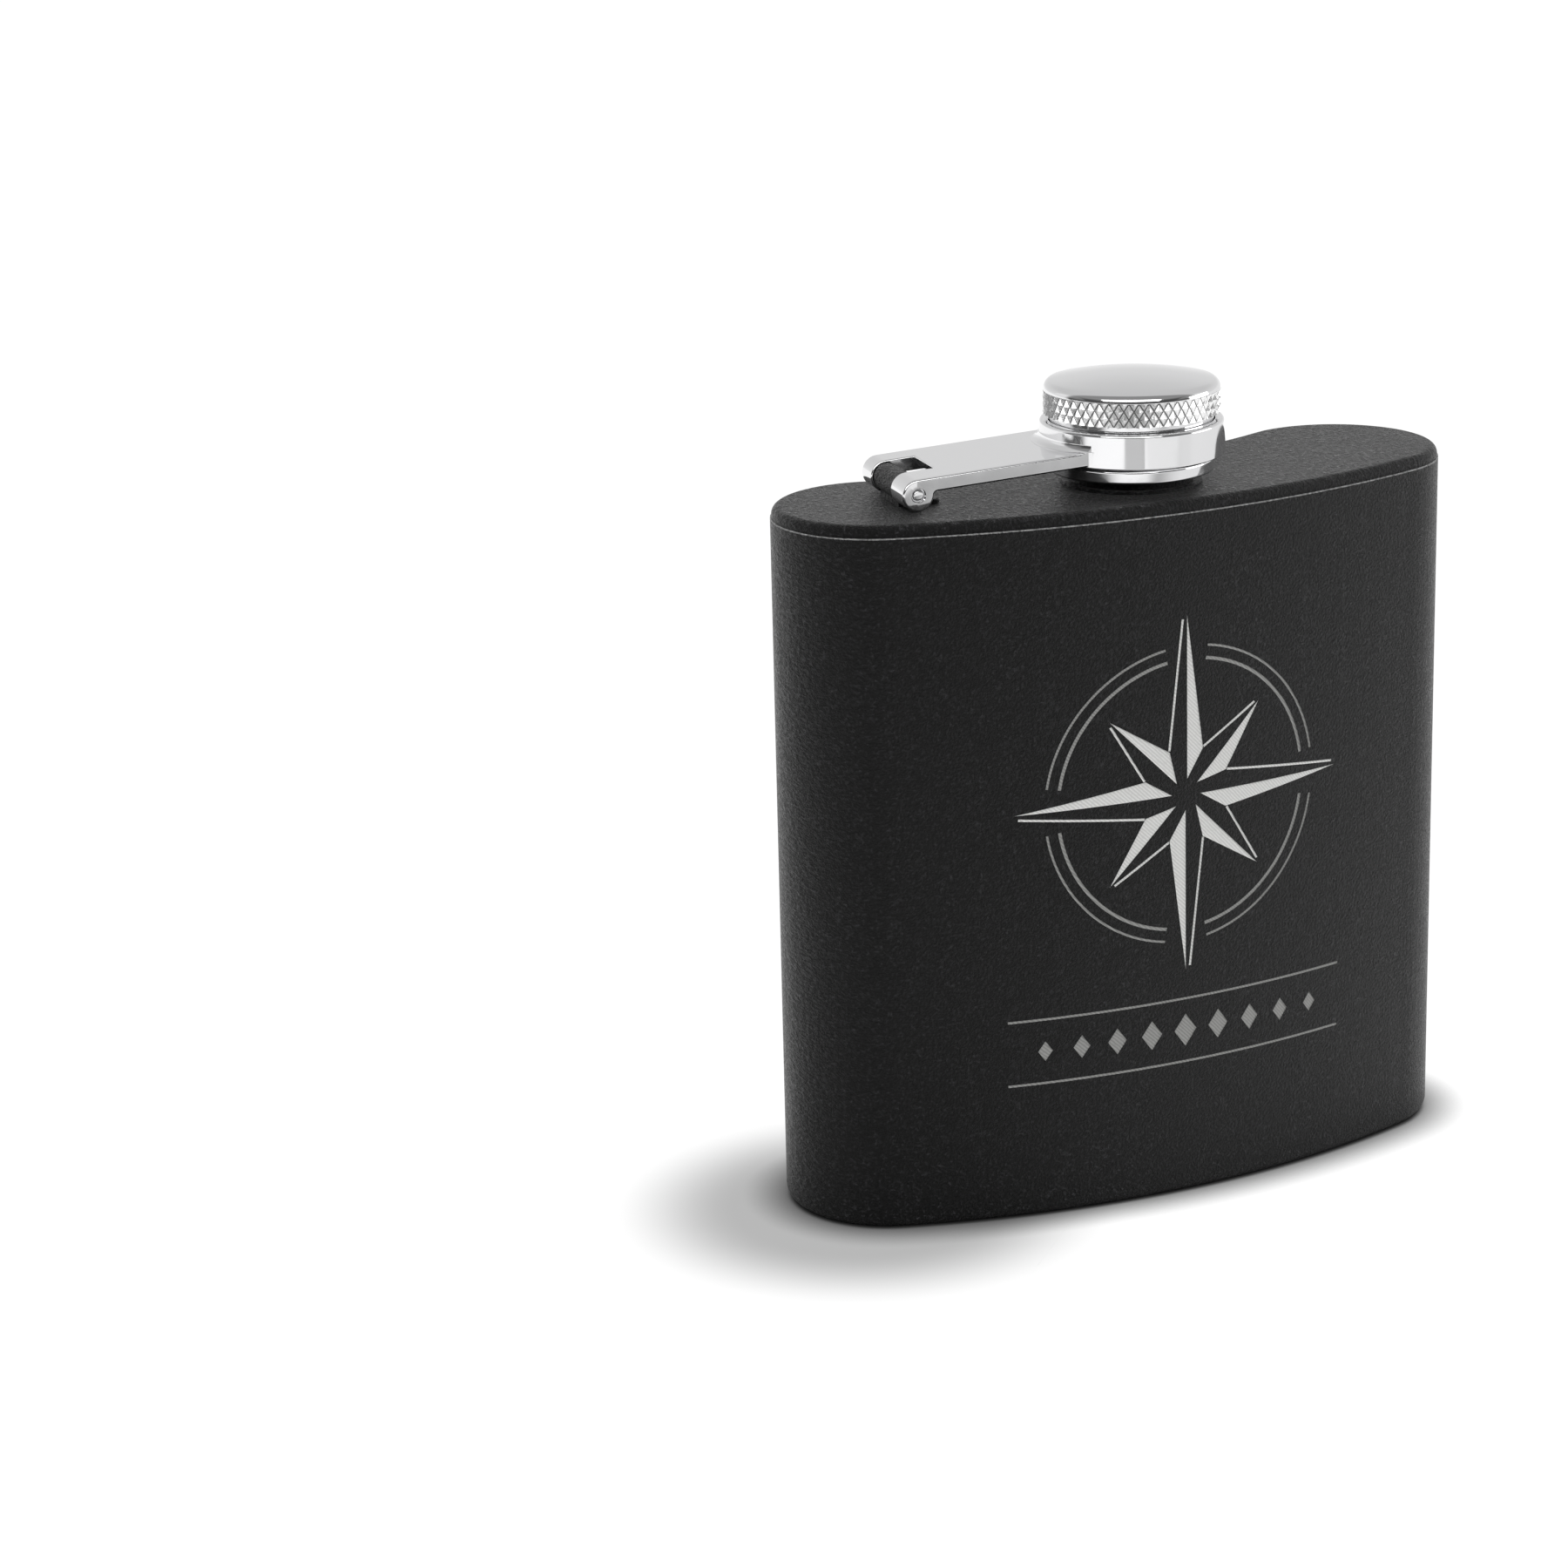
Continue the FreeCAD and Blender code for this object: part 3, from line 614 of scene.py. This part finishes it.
def spout():
    """Bare steel spout: rolled foot under the shoulder, threaded wall, rounded pouring rim."""
    root = half_width(spout_low, spout_high) - THREAD_RISE
    shelf = SHOULDER - SHOULDER_PLATE
    foot_top = SHOULDER + SPOUT_THREAD_FOOT
    profile = outline(
        (SPOUT_BORE, spout_low.z, 0.2 * MM),
        (SPOUT_FOOT_RADIUS + SPOUT_FLANGE, spout_low.z),
        (SPOUT_FOOT_RADIUS + SPOUT_FLANGE, shelf),
        (SPOUT_FOOT_RADIUS, shelf),
        (SPOUT_FOOT_RADIUS, foot_top),
        (root, foot_top + SPOUT_STEP),
        (root, spout_high.z, 0.5 * MM),
        (SPOUT_BORE, spout_high.z, 0.45 * MM),
    )
    stand_for(turned("spout_turned", profile), "neck_tube")
    thread("spout_thread", "neck_tube", root=root, crest=root + 2 * THREAD_RISE,
           low=SHOULDER + 3.2 * MM, high=spout_high.z - 1.2 * MM, turns=2.2)


def turned_pin():
    """The hinge's round pin with its rolled ends, along the arm's joint axis."""
    low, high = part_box("hinge_pin")
    joints = frame["record"]["behaviour"]["joints"]
    along = Vector(next(joint for joint in joints if joint["name"] == "arm_swing")["axis"])
    radius = (high.z - low.z) / 2
    length = (high.y - low.y - 2 * (radius - PIN_END) * abs(along.x)) / abs(along.y)
    bpy.ops.object.select_all(action="DESELECT")
    bpy.ops.mesh.primitive_cylinder_add(vertices=64, radius=radius, depth=length,
                                        location=(low + high) / 2,
                                        rotation=along.to_track_quat("Z", "Y").to_euler())
    pin = bpy.context.object
    pin.name = "hinge_pin_turned"
    bpy.ops.object.transform_apply(location=True, rotation=True, scale=True)
    apply_modifier(pin, "BEVEL", width=PIN_END, segments=4, limit_method="ANGLE")
    smooth(pin)
    apply_modifier(pin, "WEIGHTED_NORMAL", keep_sharp=True)
    stand_for(pin, "hinge_pin")


# ---- etched compass star on the front ----
STAR_HEIGHT = 53 * MM       # its middle above the floor
LONG_POINT = 23 * MM
SHORT_POINT = 15 * MM
WAIST = 6.2 * MM            # where neighbouring points meet
BESIDE = 22.5               # degrees from a point's tip to the waist beside it
RULE = 0.32 * MM            # width of a thin line
RINGS = ((17.2 * MM, 1.4 * RULE), (18.9 * MM, RULE))    # radius and width
RING_STEP = 3               # degrees between the corners of a ring
RING_GAP = 9                # degrees left open on each side of a long point
ROW_DROP = 8 * MM           # from the star's lowest tip to the row of lozenges
ROW_REACH = 4               # lozenges on each side of the middle one
LOZENGE_STEP = 4.8          # mm from one lozenge to the next
RULE_DROP = 4.2 * MM        # from the row to the rule above it and the one below it
RULE_REACH = 24 * MM        # half the length of a rule
DRAWING_REACH = 26 * MM     # half the width of what is cut fine
DRAWING_Y = wall_low.y - 5 * MM     # the drawing is made flat, this far before the front
ETCH_DEPTH = 0.1 * MM
BEND_STEP = 2 * MM          # the flat drawing is cut this fine before it's laid on the wall
BEND_SHIFT = 0.01 * MM      # keeps the cuts off the drawing's own middle line


def on_front(angle, radius):
    """A point of the drawing, from its angle clockwise from the top and its distance."""
    turn = math.radians(angle)
    return (radius * math.sin(turn), DRAWING_Y, STAR_HEIGHT + radius * math.cos(turn))


def filled(points):
    """A flat outline filled with one face."""
    piece = drawn("etched_shape", points)
    bpy.ops.mesh.edge_face_add()
    bpy.ops.object.mode_set(mode="OBJECT")
    return piece


def strip(start, end, width):
    """A thin straight line of the drawing."""
    along = (Vector(end) - Vector(start)).normalized()
    across = along.cross(Vector((0, 1, 0))) * width / 2
    return filled([tuple(Vector(start) + across), tuple(Vector(end) + across),
                   tuple(Vector(end) - across), tuple(Vector(start) - across)])


def star_point(angle, length):
    """One point of the star: its right half etched, its left side drawn as one thin line."""
    gap = 0.5 * RULE
    side = math.cos(math.radians(BESIDE)) * WAIST
    half = filled([on_front(angle + 3, 0.35 * side), on_front(angle, length),
                   on_front(angle + BESIDE, WAIST)])
    edge = strip(on_front(angle - BESIDE, WAIST + gap),
                 on_front(angle - 1.5, length - 3.2 * gap), RULE)
    return [half, edge]


def etched_ring(radius, width):
    """A thin circle that stops short of the star's long points."""
    shapes = []
    for start in range(0, 360, RING_STEP):
        end = start + RING_STEP
        from_point = abs(((start + end) / 2 + 45) % 90 - 45)
        if from_point >= RING_GAP:
            shapes.append(filled([on_front(start, radius), on_front(end, radius),
                                  on_front(end, radius + width),
                                  on_front(start, radius + width)]))
    return shapes


def lozenge(x, z, half_wide, half_high):
    return filled([(x, DRAWING_Y, z + half_high), (x + half_wide, DRAWING_Y, z),
                   (x, DRAWING_Y, z - half_high), (x - half_wide, DRAWING_Y, z)])


def front_drawing(row):
    """Star, circles, and a row of lozenges between two rules, as one flat piece cut fine."""
    bright, dull = [], []
    for quarter in range(0, 360, 90):
        bright += star_point(quarter, LONG_POINT)
        bright += star_point(quarter + 45, SHORT_POINT)
    for radius, width in RINGS:
        dull += etched_ring(radius, width)
    for i in range(-ROW_REACH, ROW_REACH + 1):
        size = 1.6 - 0.16 * abs(i)      # mm, half the width; the middle one is the largest
        dull.append(lozenge(i * LOZENGE_STEP * MM, row, size * MM, 1.35 * size * MM))
    for z in (row + RULE_DROP, row - RULE_DROP):
        dull.append(strip((-RULE_REACH, DRAWING_Y, z), (RULE_REACH, DRAWING_Y, z), RULE))
    for shapes, material in ((bright, ETCHED), (dull, MARKED)):
        for shape in shapes:
            shape.data.materials.append(material)
    drawing = bright[0]
    only(drawing)
    for shape in bright + dull:
        shape.select_set(True)
    bpy.ops.object.join()
    drawing.name = "etched_drawing"
    bpy.ops.object.mode_set(mode="EDIT")
    bpy.ops.mesh.select_all(action="SELECT")
    bpy.ops.mesh.remove_doubles(threshold=MERGE)
    steps = int(DRAWING_REACH / BEND_STEP)
    for i in range(-steps, steps + 1):
        bpy.ops.mesh.select_all(action="SELECT")
        bpy.ops.mesh.bisect(plane_co=(i * BEND_STEP + BEND_SHIFT, 0, 0), plane_no=(1, 0, 0))
    bpy.ops.mesh.select_all(action="SELECT")
    bpy.ops.mesh.normals_make_consistent(inside=False)
    bpy.ops.object.mode_set(mode="OBJECT")
    return drawing


def etched_front():
    """Cuts the drawing into the coated wall: a shallow pocket whose floor is bare metal."""
    row = STAR_HEIGHT - LONG_POINT - ROW_DROP
    drawing = front_drawing(row)
    wall = merged_copy("body_wall")
    wall.name = "body_wall_etched"
    # two level cuts keep the long facets beyond the drawing as they are
    low, high = row - 10 * MM, STAR_HEIGHT + LONG_POINT + 5 * MM
    bpy.ops.object.mode_set(mode="EDIT")
    for level in (low, high):
        bpy.ops.mesh.select_all(action="SELECT")
        bpy.ops.mesh.bisect(plane_co=(0, 0, level), plane_no=(0, 0, 1))
    bpy.ops.object.mode_set(mode="OBJECT")
    smooth(wall)
    bpy.ops.object.duplicate()
    uncut = bpy.context.active_object
    apply_modifier(drawing, "SHRINKWRAP", target=wall, wrap_method="PROJECT",
                   use_project_x=False, use_project_y=True, use_project_z=False,
                   use_positive_direction=True, use_negative_direction=False)
    apply_modifier(drawing, "SOLIDIFY", thickness=2 * ETCH_DEPTH, offset=0)
    bpy.ops.object.mode_set(mode="EDIT")
    bpy.ops.mesh.select_all(action="SELECT")
    bpy.ops.mesh.normals_make_consistent(inside=False)
    bpy.ops.object.mode_set(mode="OBJECT")
    stand_for(wall, "body_wall")
    apply_modifier(wall, "BOOLEAN", operation="DIFFERENCE", solver="EXACT", object=drawing,
                   material_mode="TRANSFER")
    # the cut wall keeps the even shading of the uncut one
    cut = wall.vertex_groups.new(name="cut")
    between = [v.index for v in wall.data.vertices if low - MERGE < v.co.z < high + MERGE]
    cut.add(between, 1, "REPLACE")
    apply_modifier(wall, "DATA_TRANSFER", object=uncut, use_loop_data=True,
                   data_types_loops={"CUSTOM_NORMAL"}, loop_mapping="POLYINTERP_NEAREST",
                   vertex_group="cut")
    bpy.data.objects.remove(drawing)
    bpy.data.objects.remove(uncut)


cap_crown()
cap_knurl()
cap_sleeve()
cap_gasket()
swivel_ring()
spout()
etched_front()
turned_pin()
for node in ("cap_arm", "hinge_lug", "neck_collar", "shoulder_plate", "base_plate"):
    refined(node)


# ---- floor, light and camera; places and sizes in metres ----
CAMERA_SIDE = Vector((-0.4955, -0.8686, 0))     # level direction from the cap to the camera
CAMERA_RIGHT = Vector((0.8686, -0.4955, 0))
CAMERA_PLACE = (-0.256022, -0.451028, 0.205494)
CAMERA_TURN = (-24.8029, 16.6101, -1.4259)      # azimuth, elevation and roll in degrees
SENSOR_WIDTH = 36           # mm
LENS = 97.142               # mm
FLASK_MIDDLE = Vector((0, 0, 0.05))
TABLE_SIZE = 12
TABLE_DROP = 0.05 * MM      # the table lies this far below the standing face
TABLE_WHITE = 1.02          # brightness of the table to the camera
TABLE_NEAR = 1.05           # brightness in the steel, of the table close to the flask
TABLE_FAR = 1.12            # and of the table beyond the dimmer belt
TABLE_MATTE = (0.03, 0.03, 0.03, 1)
WHITE = (1, 1, 1, 1)
CONTACT_REACH = 6 * MM      # the dark line under the flask
SHADOW_REACH = 40 * MM      # the wide shadow beside it
OUTLINE_GREY = 0.52         # the camera's own outline on the table, as the steel mirrors it
SIDE_BOX = 0.15             # brightness of the side boxes


def studio_floor():
    """A white table that stays white to the eye and keeps the object's soft contact shadow."""
    bpy.ops.object.select_all(action="DESELECT")
    bpy.ops.mesh.primitive_plane_add(size=TABLE_SIZE, location=(0, 0, -TABLE_DROP))
    floor = bpy.context.object
    floor.name = "studio_floor"
    material, tree = new_material("white_table")
    path = add(tree, "LightPath")
    place = add(tree, "TexCoord").outputs["Object"]
    contact = add(tree, "AmbientOcclusion", {"samples": 16},
                  Distance=CONTACT_REACH).outputs["AO"]
    contact = add(tree, "Math", {"operation": "POWER"}, contact, 2.0)
    # painted shadow: occlusion sought toward the right dims the table, wider on the left, as if
    # more light came from the right
    lit_from = CAMERA_RIGHT * 0.75 + CAMERA_SIDE * 0.5 + UP * 0.43
    wide = add(tree, "AmbientOcclusion", {"samples": 16}, Distance=SHADOW_REACH,
               Normal=lit_from).outputs["AO"]
    wide = add(tree, "MapRange", SOFT, wide, 0.2, 0.5, 0.25, 1)
    # a painted shadow patch, deepest round the hinge's end, darkened by distance from one point
    # on the table
    corner = add(tree, "VectorMath", APART, place, (wall_low.x + 8 * MM, 0, 0))
    corner = add(tree, "MapRange", SOFT, corner, 16 * MM, 34 * MM, 0.45, 1)
    shade = add(tree, "Math", TIMES, add(tree, "Math", TIMES, contact, wide), corner)
    # how far each point lies toward the camera and to its right, and in which direction
    toward = add(tree, "VectorMath", ALONG, place, CAMERA_SIDE)
    across = add(tree, "VectorMath", ALONG, place, CAMERA_RIGHT)
    bearing = add(tree, "Math", {"operation": "ARCTAN2"}, across, toward)
    # the table is dimmer in a belt before the flask, but not far to the right
    dim = add(tree, "MapRange", SOFT, bearing, 0.2, 1.2, 0.1, 1.0)
    in_belt = add(tree, "MapRange", SOFT, toward, 0.13, 0.2, 0, 1)
    beyond = add(tree, "MapRange", SOFT, toward, 0.34, 0.42, 0, 1)
    table = add(tree, "Mix", NUMBER, in_belt, TABLE_NEAR, dim)
    table = add(tree, "Mix", NUMBER, beyond, table, TABLE_FAR)
    right = add(tree, "MapRange", SOFT, across, 0.15, 0.3, 1, 0.8)
    table = add(tree, "Math", TIMES, table, right)
    # the camera's own dark outline, which the steel mirrors as an upright grey strip
    left_of_it = add(tree, "MapRange", SOFT, bearing, -0.18, -0.10, 1, 0)
    right_of_it = add(tree, "MapRange", SOFT, bearing, 0.27, 0.29, 0, 1)
    beside = add(tree, "Math", PLUS, left_of_it, right_of_it)
    before = add(tree, "MapRange", SOFT, toward, 0.5, 0.55, 1, 0)
    clear = add(tree, "Math", LARGER, beside, before)
    outline_shade = add(tree, "MapRange", SOFT, clear, 0, 1, OUTLINE_GREY, 1)
    mirrored = add(tree, "Math", TIMES, table, outline_shade)
    in_steel = path.outputs["Is Glossy Ray"]
    seen = add(tree, "Mix", NUMBER, in_steel, TABLE_WHITE, mirrored)
    shaded = add(tree, "Math", TIMES, seen, shade)
    shown = add(tree, "Math", LARGER, path.outputs["Is Camera Ray"], in_steel)
    strength = add(tree, "Math", TIMES, shaded, shown)
    glow = add(tree, "Emission", Color=WHITE, Strength=strength)
    matte = add(tree, "BsdfDiffuse", Color=TABLE_MATTE)
    add(tree, "OutputMaterial", Surface=add(tree, "AddShader", None, glow, matte))
    paint(floor, material)


def studio_world():
    """A light tent, brightest at the backdrop's foot, with the camera's open side darker."""
    world = bpy.data.worlds.new("studio")
    bpy.context.scene.world = world
    world.use_nodes = True
    tree = world.node_tree
    tree.nodes.clear()
    path = add(tree, "LightPath")
    direction = add(tree, "TexCoord").outputs["Generated"]
    height = add(tree, "SeparateXYZ", Vector=direction).outputs["Z"]
    foot = add(tree, "MapRange", SOFT, height, -0.05, 0.22, 0.16, 0)
    sides = add(tree, "MapRange", SOFT, height, 0.2, 0.6, 0.74, 0.62)
    tent = add(tree, "Math", PLUS, foot, sides)
    toward = add(tree, "VectorMath", ALONG, direction, CAMERA_SIDE)
    open_side = add(tree, "MapRange", SOFT, toward, -0.12, 0.08, 0, 1)
    dark_room = add(tree, "MapRange", SOFT, height, 0.3, 0.6, 0.1, 0.45)
    room = add(tree, "Mix", NUMBER, open_side, 1.0, dark_room)
    # two side boxes, from a little above the cap's level upwards
    across = add(tree, "VectorMath", ALONG, direction, CAMERA_RIGHT)
    across = add(tree, "Math", TIMES, across, across)
    sideways = add(tree, "MapRange", SOFT, across, 0.72, 0.8, 0, 1)
    box_foot = add(tree, "MapRange", SOFT, height, 0.1, 0.2, 0, 1)
    box_top = add(tree, "MapRange", SOFT, height, 0.42, 0.52, 1, 0)
    level = add(tree, "Math", TIMES, box_foot, box_top)
    boxes = add(tree, "Math", TIMES, add(tree, "Math", TIMES, sideways, level), SIDE_BOX)
    light = add(tree, "Math", PLUS, add(tree, "Math", TIMES, tent, room), boxes)
    strength = add(tree, "Mix", NUMBER, path.outputs["Is Camera Ray"], light, 1.0)
    back = add(tree, "Background", Color=WHITE, Strength=strength)
    add(tree, "OutputWorld", Surface=back)


def soft_box(name, place, wide, high, watts, mirrored=True):
    """One soft box, turned to the flask's middle."""
    data = bpy.data.lights.new(name, "AREA")
    data.shape = "RECTANGLE"
    data.size, data.size_y, data.energy = wide, high, watts
    box = bpy.data.objects.new(name, data)
    bpy.context.scene.collection.objects.link(box)
    box.location = place
    box.rotation_euler = (FLASK_MIDDLE - place).to_track_quat("-Z", "Y").to_euler()
    box.visible_glossy = mirrored


def studio_boxes():
    """Key for the knurl's upper facets, fill for the etching, sheen for the right side."""
    above_camera = CAMERA_SIDE * 1.1 + UP * 0.75
    above_right = CAMERA_SIDE * 1.1 + CAMERA_RIGHT * 0.3 + UP * 0.8
    far_right = Vector((1.0, -0.4, 0.22))
    soft_box("key_box", above_camera, wide=1.8, high=0.5, watts=8)
    soft_box("fill_box", above_right, wide=1.6, high=1.2, watts=8, mirrored=False)
    soft_box("sheen_box", far_right, wide=0.7, high=0.4, watts=2)


def studio_camera():
    """The viewing angle: from the hinge side, above the cap, with a long lens."""
    data = bpy.data.cameras.new("camera")
    data.sensor_width = SENSOR_WIDTH
    data.lens = LENS
    camera = bpy.data.objects.new("camera", data)
    bpy.context.scene.collection.objects.link(camera)
    azimuth, elevation, roll = (math.radians(a) for a in CAMERA_TURN)
    back = Vector((math.sin(azimuth) * math.cos(elevation),
                   -math.cos(azimuth) * math.cos(elevation), math.sin(elevation)))
    right = (-back).cross(UP).normalized()
    above = right.cross(-back)
    side = right * math.cos(roll) + above * math.sin(roll)
    top = above * math.cos(roll) - right * math.sin(roll)
    matrix = camera.matrix_world
    for row in range(3):
        matrix[row][0], matrix[row][1], matrix[row][2] = side[row], top[row], back[row]
    matrix.translation = CAMERA_PLACE
    camera.matrix_world = matrix
    bpy.context.scene.camera = camera


studio_floor()
studio_world()
studio_boxes()
studio_camera()
bpy.context.scene.view_settings.view_transform = "Standard"
